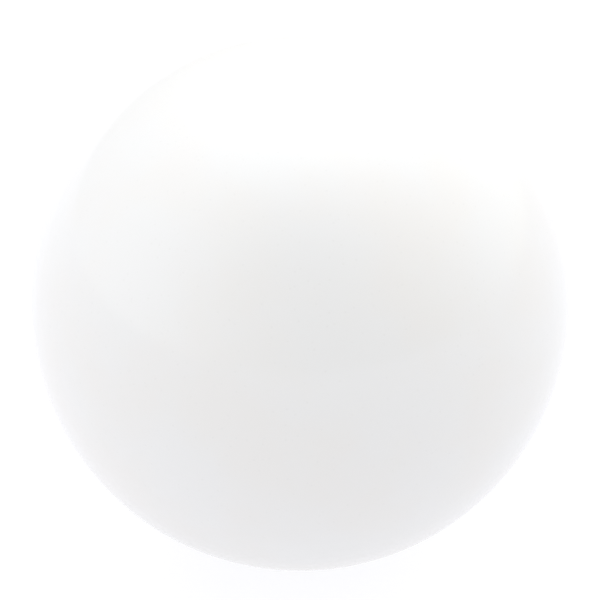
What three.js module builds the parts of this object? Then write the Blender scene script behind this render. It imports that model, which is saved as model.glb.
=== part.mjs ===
// A cue ball for pool: one solid sphere of white phenolic resin, cast in one
// pour, then ground true and polished all over. It has no shell, core, seam,
// insert or mark, so the whole object is a single piece.
//
// Millimetres, +Z up, origin at the centre of the ball.

import * as THREE from 'three';

// Driving dimensions
const BALL_DIAMETER = 57.15; // 2 1/4 inches, the standard pool ball
const FACET_SIDE = 2; // keeps every facet within the 0.127 mm that a real ball may be off

// Polished white resin
const RESIN_FINISH = { color: 0xf4f3f0, roughness: 0.08, metalness: 0 };

// The angle between neighbouring corners of an icosahedron, seen from its centre
const ICOSAHEDRON_EDGE_ANGLE = Math.atan(2);

// The ball is an icosahedron whose edges are split and pushed out to the
// sphere, so its facets are nearly equal all over and it has no poles. An even
// number of parts to each edge puts a corner at both ends of every axis, so the
// solid measures the exact diameter along X, Y and Z.
function ballGeometry(diameter, facetSide) {
  const radius = diameter / 2;
  const edgeArc = radius * ICOSAHEDRON_EDGE_ANGLE;
  const edgeParts = 2 * Math.round(edgeArc / facetSide / 2);
  const cornersAddedToEdge = edgeParts - 1;
  return new THREE.IcosahedronGeometry(radius, cornersAddedToEdge);
}

function makeBall() {
  const geometry = ballGeometry(BALL_DIAMETER, FACET_SIDE);
  const resin = new THREE.MeshStandardMaterial(RESIN_FINISH);
  const ball = new THREE.Mesh(geometry, resin);
  ball.name = 'ball';
  return ball;
}

const cueBall = new THREE.Group();
cueBall.name = 'cue_ball';
cueBall.add(makeBall());

export default cueBall;
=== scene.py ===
"""A polished cue ball on a white light table, in a soft white studio tent. Metres, +Z up."""

import math

import bmesh
import bpy
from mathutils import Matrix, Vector


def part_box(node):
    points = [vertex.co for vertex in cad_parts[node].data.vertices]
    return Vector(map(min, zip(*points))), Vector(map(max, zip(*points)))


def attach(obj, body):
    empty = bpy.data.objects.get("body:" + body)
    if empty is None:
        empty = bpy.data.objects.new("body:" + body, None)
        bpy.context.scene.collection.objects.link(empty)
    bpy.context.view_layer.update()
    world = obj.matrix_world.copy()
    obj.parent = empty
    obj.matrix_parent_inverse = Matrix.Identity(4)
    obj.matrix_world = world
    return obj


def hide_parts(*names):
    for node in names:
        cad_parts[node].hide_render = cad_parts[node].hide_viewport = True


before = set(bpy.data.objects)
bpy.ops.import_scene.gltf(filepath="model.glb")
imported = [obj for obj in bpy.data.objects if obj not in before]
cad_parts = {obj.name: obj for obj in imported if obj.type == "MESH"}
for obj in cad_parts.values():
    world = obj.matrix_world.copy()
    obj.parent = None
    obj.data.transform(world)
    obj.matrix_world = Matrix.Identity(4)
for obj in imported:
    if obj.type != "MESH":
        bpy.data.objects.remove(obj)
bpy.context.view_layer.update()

ball_lowest, ball_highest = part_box("ball")

MM = 0.001
MICRON = 0.000001

# The ball's size and place, from the frame
BALL_RADIUS = (ball_highest.z - ball_lowest.z) / 2
BALL_CENTRE = (ball_lowest + ball_highest) / 2
CELLS_PER_SIDE = 64

# Blender's noise stays close to its middle value. These are where it starts and stops mattering.
NOISE_LOW = 0.35
NOISE_HIGH = 0.65

# White phenolic resin. Its mineral filler cures in faint clouds with tiny specks in them.
RESIN_WARM_WHITE = (0.756, 0.747, 0.732, 1)
RESIN_COOL_WHITE = (0.756, 0.756, 0.751, 1)
RESIN_SPECK = (0.715, 0.711, 0.700, 1)
RESIN_IOR = 1.6
CLOUD_SIZE = 11 * MM
CLOUD_DETAIL = 5
SPECK_SPACING = 0.9 * MM
SPECK_RADIUS = 0.18 * MM
SPECK_STRENGTH = 0.6

# Its polish. The wheel leaves a haze, arcs of hairlines round two axes and a faint orange peel.
POLISHED_ROUGHNESS = 0.075
HAZED_ROUGHNESS = 0.115
HAZE_SIZE = 15 * MM
HAZE_DETAIL = 3
HAIRLINE_LENGTH = 14 * MM
HAIRLINE_WIDTH = 0.14 * MM
HAIRLINE_AXES = [Vector((0.3, 0.2, 0.93)), Vector((0.85, -0.45, 0.28))]
HAIRLINE_NOISE_LOW = 0.60
HAIRLINE_NOISE_HIGH = 0.74
HAIRLINE_ROUGHNESS = 0.03
HAIRLINE_DEPTH = 0.15 * MICRON
PEEL_SIZE = 1.7 * MM
PEEL_DETAIL = 1
PEEL_DEPTH = 2 * MICRON

# The light table, a plain sheet of milky acrylic lit evenly from below
TABLE_HEIGHT = ball_lowest.z
TABLE_HALF_SIZE = 20
TABLE_GREY = (0.235, 0.235, 0.265, 1)
TABLE_GLOW = 0.8
TABLE_GLOW_WHITE = (1, 1, 1, 1)

# The camera
CAMERA_ELEVATION = 30
CAMERA_LENS = 200
CAMERA_SENSOR = 36
BALL_SHARE_OF_PICTURE = 0.903

# The tent: white cloth all round, lamps behind it and dimmer parts of the cloth between them.
# Directions are in degrees, azimuth 0 in front and 90 to the right. A higher focus gathers the
# light more tightly round its direction. Colour is its red, green and blue strength, and a dim
# part of the cloth takes light away.
TENT_WHITE = (0.815, 0.81, 0.79)
LAMPS = [
    {"azimuth": 180, "elevation": 70, "focus": 4, "colour": (2.16, 2.18, 2.25)},
    {"azimuth": 284, "elevation": 4, "focus": 2.5, "colour": (0.76, 0.77, 0.79)},
    {"azimuth": 114, "elevation": 16, "focus": 4, "colour": (0.65, 0.65, 0.63)},
]
DIM_CLOTH = [
    {"azimuth": 200, "elevation": 50, "focus": 3, "colour": (-0.72, -0.71, -0.69)},
    {"azimuth": 356, "elevation": 59, "focus": 5, "colour": (-0.61, -0.61, -0.61)},
]


def link(thing):
    bpy.context.scene.collection.objects.link(thing)
    return thing


def maths(tree, operation, first, second=0.0):
    """A Math node. first is a socket, and second is a socket or a number."""
    node = tree.nodes.new("ShaderNodeMath")
    node.operation = operation
    tree.links.new(first, node.inputs[0])
    if isinstance(second, (int, float)):
        node.inputs[1].default_value = second
    else:
        tree.links.new(second, node.inputs[1])
    return node.outputs[0]


def vector_maths(tree, operation, first, second):
    """A Vector Math node's answer, a vector or a number. Each input is a socket or three numbers."""
    node = tree.nodes.new("ShaderNodeVectorMath")
    node.operation = operation
    for socket, value in zip(node.inputs, (first, second)):
        if isinstance(value, bpy.types.NodeSocket):
            tree.links.new(value, socket)
        else:
            socket.default_value = value
    return node.outputs["Value" if operation == "DOT_PRODUCT" else "Vector"]


def noise(tree, place, lump_size, detail):
    """Seamless solid noise, about 0.3 to 0.7, with lumps of this size at their coarsest."""
    node = tree.nodes.new("ShaderNodeTexNoise")
    node.inputs["Scale"].default_value = 1 / lump_size
    node.inputs["Detail"].default_value = detail
    tree.links.new(place, node.inputs["Vector"])
    return node.outputs["Fac"]


def ease(tree, value, low, high, to_low=0.0, to_high=1.0):
    """Value carried smoothly from one range to another, and held at the ends."""
    node = tree.nodes.new("ShaderNodeMapRange")
    node.interpolation_type = "SMOOTHSTEP"
    tree.links.new(value, node.inputs["Value"])
    node.inputs["From Min"].default_value = low
    node.inputs["From Max"].default_value = high
    node.inputs["To Min"].default_value = to_low
    node.inputs["To Max"].default_value = to_high
    return node.outputs["Result"]


def blend(tree, amount, first, second):
    """A colour part of the way from first, a colour or a socket, to second, a colour."""
    node = tree.nodes.new("ShaderNodeMix")
    node.data_type = "RGBA"
    tree.links.new(amount, node.inputs["Factor"])
    from_colour, to_colour = [socket for socket in node.inputs if socket.type == "RGBA"]
    if isinstance(first, tuple):
        from_colour.default_value = first
    else:
        tree.links.new(first, from_colour)
    to_colour.default_value = second
    return next(socket for socket in node.outputs if socket.type == "RGBA")


# ---------------------------------------------------------------- the ball


def even_step(step):
    """A step from -1 to 1 across a cube's side, moved so that the cells are even on the sphere."""
    return math.tan(step * math.pi / 4)


def make_ball(radius, centre, cells):
    """A sphere of six square patches of quads, so it has no poles and its cells are nearly equal."""
    mesh = bmesh.new()
    bmesh.ops.create_cube(mesh, size=2)
    bmesh.ops.subdivide_edges(mesh, edges=mesh.edges[:], cuts=cells - 1, use_grid_fill=True)
    for corner in mesh.verts:
        on_cube = Vector([even_step(step) for step in corner.co])
        corner.co = centre + on_cube.normalized() * radius
    for face in mesh.faces:
        face.smooth = True
    data = bpy.data.meshes.new("polished_ball")
    mesh.to_mesh(data)
    mesh.free()
    return link(bpy.data.objects.new("polished_ball", data))


# ---------------------------------------------------------------- the resin


def specks(tree, place):
    """SPECK_STRENGTH in the middle of each grain of filler and 0 between the grains."""
    cells = tree.nodes.new("ShaderNodeTexVoronoi")
    cells.inputs["Scale"].default_value = 1 / SPECK_SPACING
    tree.links.new(place, cells.inputs["Vector"])
    edge = SPECK_RADIUS / SPECK_SPACING
    return ease(tree, cells.outputs["Distance"], 0, edge, SPECK_STRENGTH, 0)


def hairlines(tree, place, axis):
    """1 on each polishing line and 0 between them. The lines are arcs round the axis."""
    turned = tree.nodes.new("ShaderNodeMapping")
    turned.vector_type = "TEXTURE"
    turned.inputs["Rotation"].default_value = axis.to_track_quat("Z", "Y").to_euler()
    turned.inputs["Scale"].default_value = (HAIRLINE_LENGTH, HAIRLINE_LENGTH, HAIRLINE_WIDTH)
    tree.links.new(place, turned.inputs["Vector"])
    lines = noise(tree, turned.outputs["Vector"], 1, 0)
    return ease(tree, lines, HAIRLINE_NOISE_LOW, HAIRLINE_NOISE_HIGH)


def resin_colour(tree, place):
    clouds = ease(tree, noise(tree, place, CLOUD_SIZE, CLOUD_DETAIL), NOISE_LOW, NOISE_HIGH)
    cloudy = blend(tree, clouds, RESIN_WARM_WHITE, RESIN_COOL_WHITE)
    return blend(tree, specks(tree, place), cloudy, RESIN_SPECK)


def resin_roughness(tree, place, lines):
    haze = noise(tree, place, HAZE_SIZE, HAZE_DETAIL)
    gloss = ease(tree, haze, NOISE_LOW, NOISE_HIGH, POLISHED_ROUGHNESS, HAZED_ROUGHNESS)
    return maths(tree, "ADD", gloss, maths(tree, "MULTIPLY", lines, HAIRLINE_ROUGHNESS))


def resin_relief(tree, place, lines):
    """The surface's normal, with the orange peel standing up and the hairlines cut in."""
    peel = maths(tree, "MULTIPLY", noise(tree, place, PEEL_SIZE, PEEL_DETAIL), PEEL_DEPTH)
    relief = tree.nodes.new("ShaderNodeBump")
    relief.inputs["Distance"].default_value = 1
    cut = maths(tree, "MULTIPLY", lines, HAIRLINE_DEPTH)
    tree.links.new(maths(tree, "SUBTRACT", peel, cut), relief.inputs["Height"])
    return relief.outputs["Normal"]


def resin_material():
    material = bpy.data.materials.new("white_resin")
    material.use_nodes = True
    tree = material.node_tree
    resin = tree.nodes["Principled BSDF"]
    resin.inputs["IOR"].default_value = RESIN_IOR
    place = tree.nodes.new("ShaderNodeTexCoord").outputs["Object"]
    lines = maths(tree, "MAXIMUM", *[hairlines(tree, place, axis) for axis in HAIRLINE_AXES])
    tree.links.new(resin_colour(tree, place), resin.inputs["Base Color"])
    tree.links.new(resin_roughness(tree, place, lines), resin.inputs["Roughness"])
    tree.links.new(resin_relief(tree, place, lines), resin.inputs["Normal"])
    return material


# ---------------------------------------------------------------- the studio


def table_material():
    material = bpy.data.materials.new("milky_acrylic")
    material.use_nodes = True
    acrylic = material.node_tree.nodes["Principled BSDF"]
    acrylic.inputs["Base Color"].default_value = TABLE_GREY
    acrylic.inputs["Roughness"].default_value = 1
    acrylic.inputs["Specular IOR Level"].default_value = 0
    acrylic.inputs["Emission Color"].default_value = TABLE_GLOW_WHITE
    acrylic.inputs["Emission Strength"].default_value = TABLE_GLOW
    return material


def make_table(height, half_size):
    mesh = bmesh.new()
    bmesh.ops.create_grid(mesh, x_segments=1, y_segments=1, size=half_size)
    data = bpy.data.meshes.new("table")
    mesh.to_mesh(data)
    mesh.free()
    data.materials.append(table_material())
    table = link(bpy.data.objects.new("table", data))
    table.location.z = height


def direction(azimuth, elevation):
    """A unit vector, from degrees."""
    turn = math.radians(azimuth)
    rise = math.radians(elevation)
    return Vector((math.sin(turn) * math.cos(rise), -math.cos(turn) * math.cos(rise), math.sin(rise)))


def soft_light(tree, looking, light):
    """Light gathered softly round one direction: colour x e^(focus x (cos of the angle off it - 1))."""
    towards = direction(light["azimuth"], light["elevation"])
    off_it = maths(tree, "SUBTRACT", vector_maths(tree, "DOT_PRODUCT", looking, towards), 1)
    fall = maths(tree, "EXPONENT", maths(tree, "MULTIPLY", off_it, light["focus"]))
    return vector_maths(tree, "MULTIPLY", fall, light["colour"])


def make_tent():
    world = bpy.data.worlds.new("tent")
    bpy.context.scene.world = world
    world.use_nodes = True
    tree = world.node_tree
    looking = tree.nodes.new("ShaderNodeTexCoord").outputs["Generated"]
    brightness = TENT_WHITE
    for light in LAMPS + DIM_CLOTH:
        brightness = vector_maths(tree, "ADD", brightness, soft_light(tree, looking, light))
    brightness = vector_maths(tree, "MAXIMUM", brightness, (0, 0, 0))
    tree.links.new(brightness, tree.nodes["Background"].inputs["Color"])
    tree.nodes["Background"].inputs["Strength"].default_value = 1


def make_camera():
    data = bpy.data.cameras.new("camera")
    data.lens = CAMERA_LENS
    data.sensor_width = CAMERA_SENSOR
    ball_angle = math.atan(CAMERA_SENSOR / 2 / CAMERA_LENS * BALL_SHARE_OF_PICTURE)
    distance = BALL_RADIUS / math.sin(ball_angle)
    towards_camera = direction(0, CAMERA_ELEVATION)
    camera = link(bpy.data.objects.new("camera", data))
    camera.location = BALL_CENTRE + towards_camera * distance
    camera.rotation_euler = towards_camera.to_track_quat("Z", "Y").to_euler()
    bpy.context.scene.camera = camera


make_camera()
ball = make_ball(BALL_RADIUS, BALL_CENTRE, CELLS_PER_SIDE)
ball.data.materials.append(resin_material())
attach(ball, "root")
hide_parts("ball")
make_table(TABLE_HEIGHT, TABLE_HALF_SIZE)
make_tent()
bpy.context.scene.view_settings.view_transform = "Standard"
